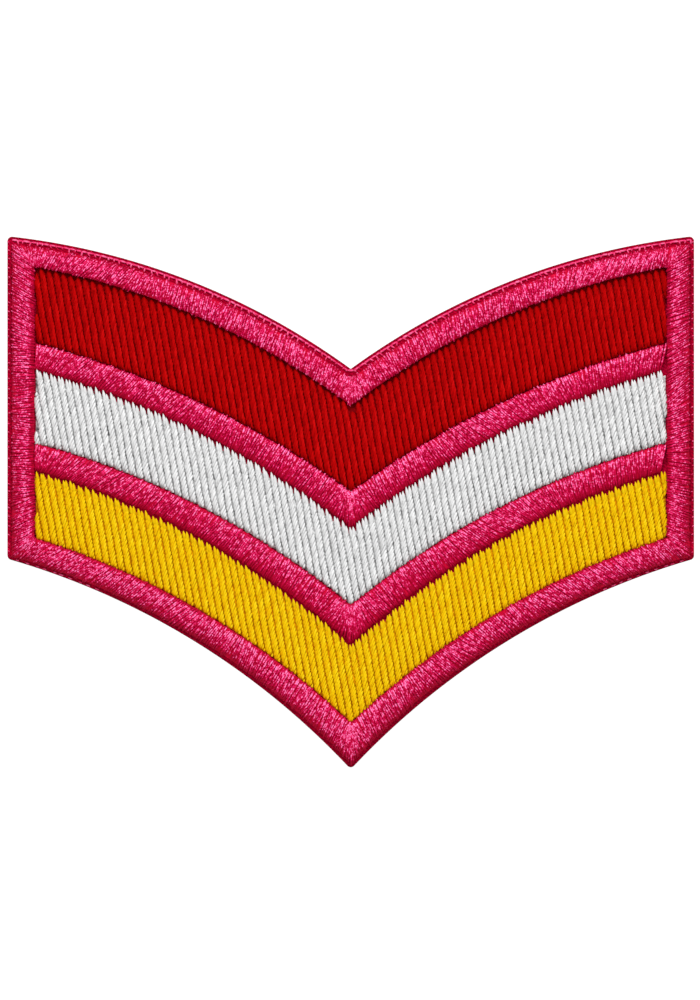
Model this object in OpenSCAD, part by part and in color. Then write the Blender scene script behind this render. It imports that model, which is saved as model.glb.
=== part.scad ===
// Rank stripe patch: a chevron of three embroidered stripes, red, white and
// yellow, on a cut twill cloth. A raised satin roll runs round the patch, and
// two satin ridges part the stripes. It lies flat on its back, face up, with
// the V pointing to -Y. Millimetres.

/* [Outline] */
// Width over the two straight sides
patch_w = 90; // [70:1:120]
// Bare cloth left outside the satin roll, at the top and the sides
lip_w = 0.75; // [0.4:0.05:0.9]
// Bare cloth left outside the satin roll, along the lower edge
low_lip_w = 0.45; // [0.3:0.05:0.9]
// Rounding of the cut corners and of the tip
corner_r = 0.6; // [0.3:0.05:1]

/* [Thickness] */
// Cut cloth with its stiff backing
cloth_t = 1.0; // [0.6:0.05:2]
// Stripe stitching above the cloth
stripe_h = 0.8; // [0.5:0.05:1.2]
// Satin ridges between the stripes, above the cloth
divider_h = 1.2; // [0.8:0.05:1.6]
// Satin roll round the edge, above the cloth
border_h = 1.4; // [1:0.05:2]
// How far the roll's crest stands in from its middle, as a share of half its
// width
crest_shift = 0.3; // [0:0.05:0.45]

/* [Stitch columns] */
// Distance from one column of stripe stitches to the next
column_pitch = 0.9; // [0.7:0.05:1.4]
// Lean of the columns: their lower ends lie further right
column_lean = 10; // [0:1:20]
// Depth of the furrow between two columns
furrow_h = 0.2; // [0.05:0.05:0.35]

/* [Fit] */
// Gap between neighbouring bands of stitching
gap = 0.05; // [0.03:0.01:0.1]

/* [Hidden] */
$fn = 360;

// Every line across the patch is one arc in each wing. The table is drawn for
// a patch 90 wide, with heights above the point where the two lower cut edges
// would meet, and is scaled to patch_w.
DRAWN_W = 90;
size = patch_w / DRAWN_W;
EDGES = size * [
    // height at the V, height at the side, distance out to the side, arc radius
    [52.5, 69.9, 45.0, 93],    // cut edge, top
    [47.8, 66.0, 41.4, 99],    // red stripe, top
    [36.4, 55.9, 41.4, 124],   // red stripe, bottom
    [31.4, 52.2, 41.4, 118],   // white stripe, top
    [21.8, 43.0, 41.4, 111],   // white stripe, bottom
    [16.2, 39.0, 41.4, 105],   // yellow stripe, top
    [6.1, 30.3, 41.4, 106],    // yellow stripe, bottom
    [0.0, 27.6, 45.0, 98.5]    // cut edge, bottom
];
CUT_TOP = EDGES[0];
RED_TOP = EDGES[1];
RED_LOW = EDGES[2];
WHITE_TOP = EDGES[3];
WHITE_LOW = EDGES[4];
YELLOW_TOP = EDGES[5];
YELLOW_LOW = EDGES[6];
CUT_LOW = EDGES[7];

half_w = CUT_TOP[2];
inner_x = RED_TOP[2];
roll_x = half_w - lip_w;
// Stations along each wing of a satin band, and points over its dome
WING_STEPS = 24;
SIDE_STEPS = 6;
DOME_STEPS = 8;
// Power of the sine and cosine that draw a dome: 1 is an ellipse, and less
// gives a flatter crown with round shoulders
CROWN = 0.75;
CORNER_FN = 72;
// Share of the pitch that each slope of a stitch column takes
SLOPE = 0.28;
// The sheet of stitch columns reaches this far from the middle, past every
// stripe, before it is cut to a stripe's outline
COLUMN_REACH = 0.75 * patch_w;

// Centre of an edge's arc in the right wing: it lies below and outside
function arc_centre(edge) =
    let (
        start = [0, edge[0]],
        chord = [edge[2], edge[1]] - start,
        half = norm(chord) / 2,
        along = chord / norm(chord),
        inward = [along.y, -along.x]
    )
    start + along * half + inward * sqrt(edge[3] ^ 2 - half ^ 2);

// Height of an edge at a distance out from the middle, moved off by grow
function edge_y(edge, x, grow = 0) =
    let (c = arc_centre(edge))
    c.y + sqrt((edge[3] + grow) ^ 2 - (abs(x) - c.x) ^ 2);

// Centres of the small arcs that round the top corners, the lower corners and
// the tip of the cut cloth
top_c = arc_centre(CUT_TOP);
low_c = arc_centre(CUT_LOW);
corner_x = half_w - corner_r;
top_corner = [
    corner_x,
    top_c.y + sqrt((CUT_TOP[3] - corner_r) ^ 2 - (corner_x - top_c.x) ^ 2)
];
low_corner = [
    corner_x,
    low_c.y + sqrt((CUT_LOW[3] + corner_r) ^ 2 - (corner_x - low_c.x) ^ 2)
];
tip = [0, low_c.y + sqrt((CUT_LOW[3] + corner_r) ^ 2 - low_c.x ^ 2)];

// The origin is the middle of the outline's box, on the back face
mid_y = (top_corner.y + corner_r + tip.y - corner_r) / 2;

// Everything below an edge, in both wings, moved off by grow
module below(edge, grow = 0) {
    c = arc_centre(edge);
    for (side = [-1, 1])
        translate([side * c.x, c.y])
            circle(edge[3] + grow);
}

// Flat outline of the band between two edges, kept clear on every side
module band(upper, lower, reach, clear = 0) {
    difference() {
        intersection() {
            below(upper, -clear);
            translate([-reach + clear, 0])
                square([2 * (reach - clear), patch_w]);
        }
        below(lower, clear);
    }
}

// What a round corner takes off: the sharp corner outside its small arc
module corner_waste(centre, points) {
    difference() {
        polygon(points);
        translate(centre)
            circle(corner_r, $fn = CORNER_FN);
    }
}

// Point where a corner's small arc runs into a long arc
function on_arc(centre, long_c, long_r) =
    long_c + (centre - long_c) * long_r / norm(centre - long_c);

module cut_outline() {
    over = corner_r;
    top_arm = on_arc(top_corner, top_c, CUT_TOP[3]) - top_corner;
    low_arm = on_arc(low_corner, low_c, CUT_LOW[3]) - low_corner;
    tip_arm = on_arc(tip, low_c, CUT_LOW[3]) - tip;
    difference() {
        band(CUT_TOP, CUT_LOW, half_w);
        for (side = [0, 1])
            mirror([side, 0]) {
                corner_waste(top_corner, [
                    top_corner,
                    [half_w + over, top_corner.y],
                    [half_w + over, top_corner.y + 2 * top_arm.y],
                    top_corner + 2 * top_arm
                ]);
                corner_waste(low_corner, [
                    low_corner,
                    low_corner + 2 * low_arm,
                    [half_w + over, low_corner.y + 2 * low_arm.y],
                    [half_w + over, low_corner.y]
                ]);
            }
        corner_waste(tip, [
            tip,
            tip + 3 * [-tip_arm.x, tip_arm.y],
            tip + 3 * tip_arm
        ]);
    }
}

// One cross-section of a satin band: a dome from one foot to the other,
// standing on the cloth, with its crest moved towards foot_b by shift
function dome(foot_a, foot_b, high, shift = 0) = [
    for (k = [0:DOME_STEPS])
        let (
            turn = 180 * k / DOME_STEPS,
            even = sign(cos(turn)) * abs(cos(turn)) ^ CROWN,
            across = even - shift * (1 - even ^ 2),
            p = (foot_a + foot_b) / 2 + (foot_a - foot_b) / 2 * across
        )
        [p.x, p.y, cloth_t + high * sin(turn) ^ CROWN]
];

// Skin over a row of sections. A closed row joins its last to its first.
module satin_band(sections, closed) {
    n = DOME_STEPS + 1;
    count = len(sections);
    points = [for (s = sections) each s];
    last = closed ? count - 1 : count - 2;
    skin = [
        for (i = [0:last], k = [0:n - 1])
            let (
                a = i * n + k,
                b = i * n + (k + 1) % n,
                c = ((i + 1) % count) * n + (k + 1) % n,
                d = ((i + 1) % count) * n + k
            )
            each [[a, b, c], [a, c, d]]
    ];
    start = [for (k = [1:n - 2]) [0, k + 1, k]];
    end_0 = (count - 1) * n;
    end = [for (k = [1:n - 2]) [end_0, end_0 + k, end_0 + k + 1]];
    polyhedron(points, closed ? skin : concat(skin, start, end));
}

// Feet of the satin roll at a share u of a wing, from the V to the corner
function top_outer(u) = [u * roll_x, edge_y(CUT_TOP, u * roll_x, -lip_w)];
function top_inner(u) = [u * inner_x, edge_y(RED_TOP, u * inner_x)];
function low_outer(u) = [u * roll_x, edge_y(CUT_LOW, u * roll_x, low_lip_w)];
function low_inner(u) = [u * inner_x, edge_y(YELLOW_LOW, u * inner_x)];
function flip(points) = [for (p = points) [-p.x, p.y, p.z]];

module on_origin() {
    translate([0, -mid_y, 0])
        children();
}

module base_cloth() {
    color("#c8285a")
        on_origin()
            linear_extrude(cloth_t)
                cut_outline();
}

module border() {
    // The right half of the ring, from the V down to the tip
    top = [
        for (i = [0:WING_STEPS])
            let (u = i / WING_STEPS)
            dome(top_outer(u), top_inner(u), border_h, crest_shift)
    ];
    side = [
        for (i = [1:SIDE_STEPS - 1])
            let (
                u = i / SIDE_STEPS,
                outer = top_outer(1) * (1 - u) + low_outer(1) * u,
                inner = top_inner(1) * (1 - u) + low_inner(1) * u
            )
            dome(outer, inner, border_h, crest_shift)
    ];
    low = [
        for (i = [WING_STEPS:-1:0])
            let (u = i / WING_STEPS)
            dome(low_outer(u), low_inner(u), border_h, crest_shift)
    ];
    right = concat(top, side, low);
    // The left half is its mirror, without the two sections on the middle line
    left = [for (i = [len(right) - 2:-1:1]) flip(right[i])];
    color("#d52e67")
        on_origin()
            satin_band(concat(right, left), true);
}

// Ridge between two stripes, from one side of the roll to the other
module divider(upper, lower) {
    reach = inner_x - gap;
    sections = [
        for (i = [-WING_STEPS:WING_STEPS])
            let (x = reach * i / WING_STEPS)
            dome(
                [x, edge_y(upper, x, -gap)],
                [x, edge_y(lower, x, gap)],
                divider_h
            )
    ];
    color("#d52e67")
        on_origin()
            satin_band(sections, false);
}

module upper_divider() {
    divider(RED_LOW, WHITE_TOP);
}

module lower_divider() {
    divider(WHITE_LOW, YELLOW_TOP);
}

// Sheet of leaning stitch columns, each with two slopes and a flat crown
module columns() {
    count = ceil(COLUMN_REACH / column_pitch);
    low = cloth_t + stripe_h - furrow_h;
    high = cloth_t + stripe_h;
    profile = [
        for (i = [-count:count])
            let (x = i * column_pitch)
            each [
                [x, low],
                [x + SLOPE * column_pitch, high],
                [x + (1 - SLOPE) * column_pitch, high]
            ]
    ];
    ends = [
        [(count + 1) * column_pitch, low],
        [(count + 1) * column_pitch, 0],
        [-count * column_pitch, 0]
    ];
    rotate([0, 0, column_lean])
        rotate([90, 0, 0])
            linear_extrude(2 * COLUMN_REACH, center = true)
                polygon(concat(profile, ends));
}

module stripe(upper, lower, shade) {
    color(shade)
        intersection() {
            on_origin()
                translate([0, 0, cloth_t])
                    linear_extrude(stripe_h)
                        band(upper, lower, inner_x, gap);
            columns();
        }
}

module red_stripe() {
    stripe(RED_TOP, RED_LOW, "#b40308");
}

module white_stripe() {
    stripe(WHITE_TOP, WHITE_LOW, "#ececec");
}

module yellow_stripe() {
    stripe(YELLOW_TOP, YELLOW_LOW, "#eebc10");
}

base_cloth();
border();
red_stripe();
upper_divider();
white_stripe();
lower_divider();
yellow_stripe();
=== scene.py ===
"""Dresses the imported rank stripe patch: a chevron of three embroidered stripes on
a cut twill cloth, with satin ridges between them and a satin roll round the edge.

The stitching is modelled thread by thread. Every thread is a closed tube, swept
along the line that the needle and the padding under it would give."""

from collections import namedtuple
from functools import partial

import bpy
import numpy as np
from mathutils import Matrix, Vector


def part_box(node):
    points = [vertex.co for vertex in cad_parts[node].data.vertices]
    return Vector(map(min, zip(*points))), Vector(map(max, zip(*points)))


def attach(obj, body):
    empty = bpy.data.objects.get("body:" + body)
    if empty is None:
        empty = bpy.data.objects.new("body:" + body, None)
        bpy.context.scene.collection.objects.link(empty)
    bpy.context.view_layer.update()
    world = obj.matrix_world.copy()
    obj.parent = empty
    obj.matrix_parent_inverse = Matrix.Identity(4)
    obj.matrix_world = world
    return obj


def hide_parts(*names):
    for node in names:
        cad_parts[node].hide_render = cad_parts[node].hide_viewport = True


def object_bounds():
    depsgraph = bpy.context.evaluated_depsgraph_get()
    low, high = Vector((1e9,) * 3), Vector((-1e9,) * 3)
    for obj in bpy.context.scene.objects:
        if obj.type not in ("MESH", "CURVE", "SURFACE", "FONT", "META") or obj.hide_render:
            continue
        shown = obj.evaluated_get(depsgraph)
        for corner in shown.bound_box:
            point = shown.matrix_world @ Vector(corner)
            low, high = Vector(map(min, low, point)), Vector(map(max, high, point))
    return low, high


bl_info = {
    "name": "Rank Stripe Patch",
    "version": (1, 0, 0),
    "blender": (4, 5, 0),
    "location": "3D Viewport > Sidebar > Patch",
    "description": "Builds an embroidered rank stripe patch thread by thread",
    "category": "Object",
}

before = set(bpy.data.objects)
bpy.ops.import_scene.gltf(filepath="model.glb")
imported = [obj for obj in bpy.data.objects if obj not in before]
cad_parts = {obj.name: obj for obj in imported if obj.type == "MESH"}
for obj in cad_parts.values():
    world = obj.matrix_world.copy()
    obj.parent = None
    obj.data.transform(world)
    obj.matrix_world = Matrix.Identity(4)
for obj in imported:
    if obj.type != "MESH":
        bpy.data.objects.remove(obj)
CAD_LOW, CAD_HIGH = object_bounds()

# Sizes of the patch. Drawing is done in millimetres, and meshes are in metres.
MM = 0.001
DRAWN_WIDTH = 90.0
SIZE = (CAD_HIGH.x - CAD_LOW.x) / MM / DRAWN_WIDTH

# Every line across the patch is one arc in each wing: height at the V, height at
# the side, distance out to the side, arc radius. Heights are above the point
# where the two lower cut edges would meet.
CUT_TOP = np.array([52.5, 69.9, 45.0, 93.0]) * SIZE
RED_TOP = np.array([47.8, 66.0, 41.4, 99.0]) * SIZE
RED_LOW = np.array([36.4, 55.9, 41.4, 124.0]) * SIZE
WHITE_TOP = np.array([31.4, 52.2, 41.4, 118.0]) * SIZE
WHITE_LOW = np.array([21.8, 43.0, 41.4, 111.0]) * SIZE
YELLOW_TOP = np.array([16.2, 39.0, 41.4, 105.0]) * SIZE
YELLOW_LOW = np.array([6.1, 30.3, 41.4, 106.0]) * SIZE
CUT_LOW = np.array([0.0, 27.6, 45.0, 98.5]) * SIZE

# The cloth's lip outside the roll, its cut corners, and the gap between pieces
LIP, LOW_LIP, CORNER_R, GAP = 0.75, 0.45, 0.6, 0.05
# Stitch columns of the stripes
COLUMN_PITCH, COLUMN_LEAN = 0.9, np.radians(10.0)
# The crest of the roll lies nearer the stripes. Satin bands are fuller than round.
CREST_SHIFT, CROWN = 0.3, 0.75
# Pieces that rest on others sink in by this much.
SINK = 0.05
UPRIGHT = np.array([0.0, 0.0, 1.0])

HALF_W = CUT_TOP[2]
INNER_X = RED_TOP[2]
REACH = INNER_X - GAP
ROLL_X = HALF_W - LIP
CLOTH_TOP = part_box("base_cloth")[1].z / MM
ROLL_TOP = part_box("border")[1].z / MM
RIDGE_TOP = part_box("upper_divider")[1].z / MM
STRIPE_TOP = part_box("red_stripe")[1].z / MM


def arc_centre(edge):
    """Centre of an edge's arc in the right wing."""
    start, end = np.array([0.0, edge[0]]), np.array([edge[2], edge[1]])
    chord = end - start
    half = np.linalg.norm(chord) / 2
    along = chord / np.linalg.norm(chord)
    inward = np.array([along[1], -along[0]])
    return start + along * half + inward * np.sqrt(edge[3] ** 2 - half**2)


def drawn_y(edge, x, grow=0.0):
    """Height of an edge at a distance out from the middle, moved off by grow."""
    centre = arc_centre(edge)
    return centre[1] + np.sqrt((edge[3] + grow) ** 2 - (np.abs(x) - centre[0]) ** 2)


def round_centre(edge, x, grow):
    """Centre of the small arc that rounds a cut corner, on a line moved off by grow."""
    return np.array([x, drawn_y(edge, x, grow)])


TOP_CORNER = round_centre(CUT_TOP, HALF_W - CORNER_R, -CORNER_R)
LOW_CORNER = round_centre(CUT_LOW, HALF_W - CORNER_R, CORNER_R)
TIP = round_centre(CUT_LOW, 0.0, CORNER_R)
MID_Y = (TOP_CORNER[1] + TIP[1]) / 2


def edge_y(edge, x, grow=0.0):
    """The same height in the shared frame, whose origin is the middle of the patch."""
    return drawn_y(edge, x, grow) - MID_Y


# Meshes from arrays


class Piece:
    """Gathers the points and faces of one piece, and makes its object."""

    def __init__(self):
        self.points, self.faces, self.total = [], [], 0
        self.marks = {"tone": [], "depth": []}

    def add(self, points, faces, tone, depth, slot=0):
        """faces is a list of (corners, bake map, thread map), one entry for each
        number of corners; tone and the shade painted into the colour (a painted
        highlight below zero) are numbers for the points."""
        self.points.append(points)
        for corners, bake, wind in faces:
            self.faces.append((corners + self.total, bake, wind, slot))
        for name, value in (("tone", tone), ("depth", depth)):
            self.marks[name].append(np.broadcast_to(value, len(points)))
        self.total += len(points)

    def build(self, name, materials, node_names, slot_name):
        mesh = bpy.data.meshes.new(name)
        points = np.concatenate(self.points) * MM
        corners = np.concatenate([f[0].ravel() for f in self.faces])
        sizes = np.concatenate([np.full(len(f[0]), f[0].shape[1]) for f in self.faces])
        slots = np.concatenate([np.full(len(f[0]), f[3]) for f in self.faces])
        mesh.vertices.add(len(points))
        mesh.vertices.foreach_set("co", points.astype(np.float32).ravel())
        mesh.loops.add(len(corners))
        mesh.loops.foreach_set("vertex_index", corners.astype(np.int32))
        mesh.polygons.add(len(sizes))
        mesh.polygons.foreach_set("loop_start", (np.cumsum(sizes) - sizes).astype(np.int32))
        mesh.polygons.foreach_set("material_index", slots.astype(np.int32))
        for index, layer_name in ((1, "OFBake"), (2, "ThreadWind")):
            layer = mesh.uv_layers.new(name=layer_name)
            uv = np.concatenate([f[index].reshape(-1, 2) for f in self.faces])
            layer.uv.foreach_set("vector", uv.astype(np.float32).ravel())
        for mark, values in self.marks.items():
            attribute = mesh.attributes.new(mark, "FLOAT", "POINT")
            attribute.data.foreach_set("value", np.concatenate(values).astype(np.float32))
        mesh.update(calc_edges=True)
        mesh.shade_smooth()
        if mesh.validate():
            raise RuntimeError(f"{name}: the mesh has faces that are not valid")
        for material in materials:
            mesh.materials.append(material)
        piece = bpy.data.objects.new(name, mesh)
        bpy.context.scene.collection.objects.link(piece)
        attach(piece, "root")
        if node_names:
            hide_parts(*node_names)
        return piece


def unit(vectors):
    return vectors / np.linalg.norm(vectors, axis=-1, keepdims=True)


# Parts of a thread's cell in the bake map: start and size of its unrolled sides,
# middles of its two ends, and half size of an end
CELL_START, CELL_SIZE = (0.03, 0.08), (0.85, 0.84)
CELL_ENDS = ((0.94, 0.27), (0.94, 0.73))
CELL_END_SIZE = (0.035, 0.15)


def add_threads(piece, centres, up, half_w, half_h, depth, band, rng, sides=5, least_tone=0.0):
    """Sweeps closed tubes along the rows of centres. up is the way that each
    tube's broad side faces, the argument after the half sizes the shade painted into
    its colour (a painted highlight below zero), and band the part of the bake map
    that the tubes share. Each has a tone of its own."""
    count, stations = centres.shape[:2]
    tone = rng.uniform(least_tone, 1, count)
    tangent = unit(np.gradient(centres, axis=1))
    side = unit(np.cross(tangent, up))
    up = np.cross(side, tangent)
    turn = 2 * np.pi * np.arange(sides) / sides - np.pi / 2
    spread = side[:, :, None] * np.cos(turn)[:, None] * half_w[:, :, None, None]
    lift = up[:, :, None] * np.sin(turn)[:, None] * half_h[:, :, None, None]
    points = centres[:, :, None] + spread + lift

    grid = np.arange(count * stations * sides).reshape(count, stations, sides)
    after = np.roll(grid, -1, axis=2)
    quads = np.stack([grid[:, :-1], after[:, :-1], after[:, 1:], grid[:, 1:]], axis=-1)
    caps = np.concatenate([grid[:, 0, ::-1], grid[:, -1]])

    steps = np.linalg.norm(np.diff(centres, axis=1), axis=2)
    run = np.pad(np.cumsum(steps, axis=1), ((0, 0), (1, 0)))
    share = run / run[:, -1:]
    quad_u, share_u = (
        np.stack([u[:, :-1], u[:, :-1], u[:, 1:], u[:, 1:]], axis=-1)[:, :, None] for u in (run, share)
    )
    k = np.arange(sides)
    around = np.stack([k, k + 1, k + 1, k], axis=-1) / sides
    shape = (count, stations - 1, sides, 4)
    wind = np.stack([np.broadcast_to(part, shape) for part in (quad_u, around)], axis=-1)
    cap_wind = np.zeros((len(caps), sides, 2))

    # Each thread has its own cell of the bake map: its sides unrolled, and its
    # two ends as small polygons beside them.
    low_v, high_v = band
    mean_run = run[:, -1].mean()
    girth = np.pi * (half_w.mean() + half_h.mean())
    across = max(int(np.ceil(np.sqrt(count / (high_v - low_v) * girth / mean_run))), 1)
    down = int(np.ceil(count / across))
    cell = np.array([1 / across, (high_v - low_v) / down])
    corner = np.stack([np.arange(count) % across, np.arange(count) // across], axis=-1) * cell
    corner += [0, low_v]
    bake = np.empty(shape + (2,))
    for i, part in enumerate((share_u, around)):
        inside = CELL_START[i] + CELL_SIZE[i] * part
        bake[..., i] = corner[:, i, None, None, None] + cell[i] * inside
    dot = np.stack([np.cos(turn), np.sin(turn)], axis=-1) * cell * CELL_END_SIZE
    start, end = (corner[:, None] + cell * middle for middle in CELL_ENDS)
    cap_bake = np.concatenate([start + dot[::-1], end + dot])
    quads, bake, wind = quads.reshape(-1, 4), bake.reshape(-1, 4, 2), wind.reshape(-1, 4, 2)
    piece.add(
        points.reshape(-1, 3),
        [(quads, bake, wind), (caps, cap_bake, cap_wind)],
        np.repeat(tone, stations * sides),
        np.repeat(np.broadcast_to(depth, (count, stations)).ravel(), sides),
    )


def at_height(flat, level):
    """Points in space, from points on the cloth and their heights."""
    return np.concatenate([flat, np.broadcast_to(level, flat.shape[:-1])[..., None]], axis=-1)


def add_loft(piece, sections, band, closed, tone=0.0, slot=0):
    """Skins closed sections that follow each other, as a ring or with two ends."""
    rows, n = sections.shape[:2]
    last = rows if closed else rows - 1
    i = np.arange(last)[:, None]
    k = np.arange(n)[None, :]
    grid = np.arange(rows * n).reshape(rows, n)
    below, after = (np.roll(grid, -1, axis=axis) for axis in (0, 1))
    quads = np.stack([grid, below, np.roll(below, -1, axis=1), after], axis=-1)[:last]
    low_v, height = band[0], band[1] - band[0]
    near, far = i / last + 0 * k, (i + 1) / last + 0 * k
    left, right = k / n + 0 * i, (k + 1) / n + 0 * i
    pairs = ((near, left), (far, left), (far, right), (near, right))
    corner = np.stack([np.stack(pair, -1) for pair in pairs], axis=2)
    # The two ends have their place beside the skin in the bake map.
    bake = [0, low_v] + corner * [0.94, height]
    faces = [(quads.reshape(-1, 4), bake.reshape(-1, 4, 2), corner.reshape(-1, 4, 2))]
    if not closed:
        turn = 2 * np.pi * np.arange(n) / n
        dot = np.stack([np.cos(turn), np.sin(turn)], -1) * [0.02, height * 0.2]
        spots = [[0.97, low_v + height * v] for v in (0.25, 0.75)]
        cap_bake = np.stack([spots[0] + dot, spots[1] + dot[::-1]])
        faces.append((np.stack([grid[0], grid[-1, ::-1]]), cap_bake, np.zeros((2, n, 2))))
    piece.add(sections.reshape(-1, 3), faces, tone, 0.0, slot)


# Materials


def linear(code):
    """Linear colour from an sRGB hex code."""
    parts = [int(code[i : i + 2], 16) / 255 for i in (1, 3, 5)]
    return [c / 12.92 if c <= 0.04045 else ((c + 0.055) / 1.055) ** 2.4 for c in parts]


def add_node(tree, kind, settings=None, **inputs):
    """Adds a shader node, with its settings and with a value or a link for each
    input. An input goes by its name, or by its number after a low line."""
    made = tree.nodes.new("ShaderNode" + kind)
    for name, value in (settings or {}).items():
        setattr(made, name, value)
    for name, value in inputs.items():
        socket = made.inputs[int(name[1:]) if name[0] == "_" else name.replace("_", " ")]
        if isinstance(value, bpy.types.Node):
            value = value.outputs[0]
        if isinstance(value, bpy.types.NodeSocket):
            tree.links.new(value, socket)
        else:
            socket.default_value = value
    return made


def new_material(name):
    """A material without nodes, and what adds nodes to it."""
    material = bpy.data.materials.new(name)
    material.use_nodes = True
    material.node_tree.nodes.clear()
    return material, partial(add_node, material.node_tree)


def finish_material(node, **inputs):
    """Ends a material in one surface with those inputs."""
    node("OutputMaterial", Surface=node("BsdfPrincipled", **inputs))


def finish_fabric(node, shade, stops, relief, relief_mm, **inputs):
    """Ends a dyed fabric: its (place, colour) stops go from the colour in deep shade to
    the colour in full light, shade and light that are partly painted in, and its relief
    is that high."""
    ramp = node("ValToRGB", Fac=shade)
    elements = ramp.color_ramp.elements
    elements[0].position, elements[1].position = stops[0][0], stops[-1][0]
    for place, _ in stops[1:-1]:
        elements.new(place)
    for element, (_, colour) in zip(elements, stops):
        element.color = (*(linear(colour) if isinstance(colour, str) else colour), 1.0)
    bump = node("Bump", Height=relief, Distance=relief_mm * MM)
    finish_material(node, Base_Color=ramp, Normal=bump, **inputs)


# Wave bands repeat each 2 pi / 10 of the mapped length.
BAND = 2 * np.pi / 10
POLYESTER_IOR = 1.57
BANDS = {"wave_type": "BANDS", "bands_direction": "DIAGONAL"}
MULTIPLY_ADD = {"operation": "MULTIPLY_ADD"}


def thread_coat(name, stops, gloss, shine, roughness, turn_mm, streak_mm, ply_mm, start, mix):
    """Twisted embroidery thread: two plies of straight shiny filaments. The eye
    gets slanting dashes from the plies, fine streaks from the filaments, and
    glints in the thread's own colour. The dashes and streaks come partly from the
    relief and are partly painted into the colour, as painted highlights and shade.
    From start on, mix says how much each part adds to the place on the stops; some
    parts are painted shade. A ply stands out by ply_mm."""
    material, node = new_material(name)
    wind = node("UVMap", {"uv_map": "ThreadWind"})
    # The tone of each thread, and the shade painted into its colour at each place (a painted highlight
    # below zero)
    tone, depth = (
        node("Attribute", {"attribute_name": mark}).outputs["Fac"] for mark in ("tone", "depth")
    )
    # Each thread starts its twist at another place.
    drift = node("CombineXYZ", X=node("Math", {"operation": "MULTIPLY"}, _0=tone, _1=37.0))
    place = node("VectorMath", {"operation": "ADD"}, _0=wind, _1=drift)
    # The two plies are too fine to tell apart, so one dash is drawn for each turn.
    laid = node("Mapping", Vector=place, Scale=(BAND / turn_mm, BAND, 0.0))
    waves = {"Scale": 1.0, "Distortion": 2.5, "Detail": 2.0, "Detail_Scale": 1.5}
    plies = node("TexWave", BANDS, Vector=laid, **waves).outputs["Fac"]
    # Filaments are 0.02 mm thick, too fine to show. They are drawn as streaks,
    # three of them round the thread, lighter and darker in the colour: partly a
    # painted highlight and shade.
    drawn = node("Mapping", Vector=place, Scale=(1 / streak_mm, 3.0, 1.0))
    fibres = node("TexNoise", Vector=drawn, Scale=1.0, Detail=2.5, Roughness=0.7)
    # Dye and thread tension drift over 1 mm sideways and 2 mm lengthwise.
    body = node("TexCoord").outputs["Object"]
    spread = node("Mapping", Vector=body, Scale=(0.9 / MM, 0.45 / MM, 0.0))
    patches = node("TexNoise", Vector=spread, Scale=1.0, Detail=1.0)
    # A thread is darker down its flanks: painted shade, where its neighbours would shade it.
    around = node("SeparateXYZ", Vector=wind).outputs["Y"]
    off_top = node("Math", {"operation": "SUBTRACT"}, _0=around, _1=0.5)
    flank = node("Math", {"operation": "ABSOLUTE"}, _0=off_top)
    parts = dict(plies=plies, fibres=fibres, tone=tone, patches=patches, depth=depth, flank=flank)
    shade = start
    for part, weight in mix.items():
        shade = node("Math", MULTIPLY_ADD, _0=parts[part], _1=weight, _2=shade)
    relief = node("Math", MULTIPLY_ADD, _0=plies, _1=0.4, _2=fibres)
    # Roughness follows the painted shade: the thread is rougher and glints less
    # where shade is painted, and glossier where a highlight is painted.
    dull = node("Math", MULTIPLY_ADD, _0=depth, _1=0.25, _2=roughness)
    finish_fabric(
        node,
        shade,
        stops,
        relief,
        ply_mm,
        Roughness=dull,
        IOR=POLYESTER_IOR,
        Specular_IOR_Level=shine,
        Specular_Tint=(*linear(gloss), 1.0),
    )
    return material


def underlay_coat(name, dark, light):
    """Underlay stitching and padding below the top threads: the same thread, coloured
    darker as painted shade, since it lies deep in shade. The eye gets it only as gaps,
    darker and lighter by turns."""
    material, node = new_material(name)
    place = node("TexCoord").outputs["Object"]
    # Stitches of the underlay are about 0.7 mm long.
    scaled = node("Mapping", Vector=place, Scale=(1.4 / MM,) * 3)
    noise = node("TexNoise", Vector=scaled, Scale=1.0, Detail=2.0)
    stops = ((0.35, dark), (0.7, light))
    finish_fabric(node, noise, stops, noise, 0.05, Roughness=0.8, Specular_IOR_Level=0.05)
    return material


def twill_coat():
    """Polyester twill on a stiff backing, cut with a hot knife. Twill gives fine
    slanting ribs, and the knife leaves a darker, smoother edge."""
    material, node = new_material("polyester_twill_crimson")
    place = node("TexCoord").outputs["Object"]
    # The cloth's tone: darker at the knife-cut edge, with painted shade on the side lips and painted
    # light elsewhere on the lip and under the stitching
    tone = node("Attribute", {"attribute_name": "tone"}).outputs["Fac"]
    # Ribs of patch twill lie about 0.45 mm apart, and its yarns 0.33 mm.
    rib = BAND / 0.45 / MM
    slanted = node("Mapping", Vector=place, Scale=(rib * 0.6, rib, 0.0))
    waves = {"Scale": 1.0, "Distortion": 0.8, "Detail": 1.0}
    ribs = node("TexWave", BANDS, Vector=slanted, **waves).outputs["Fac"]
    fine = node("Mapping", Vector=place, Scale=(3 / MM,) * 3)
    yarns = node("TexNoise", Vector=fine, Scale=1.0, Detail=2.0)
    weave = node("Math", MULTIPLY_ADD, _0=ribs, _1=0.25, _2=yarns)
    finish_fabric(
        node,
        node("Math", {"operation": "ADD"}, _0=weave, _1=tone),
        ((0.0, "#3A0010"), (0.4, "#88001E"), (0.7, "#AC0028"), (1.0, "#D80C44")),
        weave,
        0.06,
        Roughness=0.75,
        IOR=POLYESTER_IOR,
        Specular_IOR_Level=0.1,
        Specular_Tint=(*linear("#FF4070"), 1.0),
    )
    return material


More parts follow.
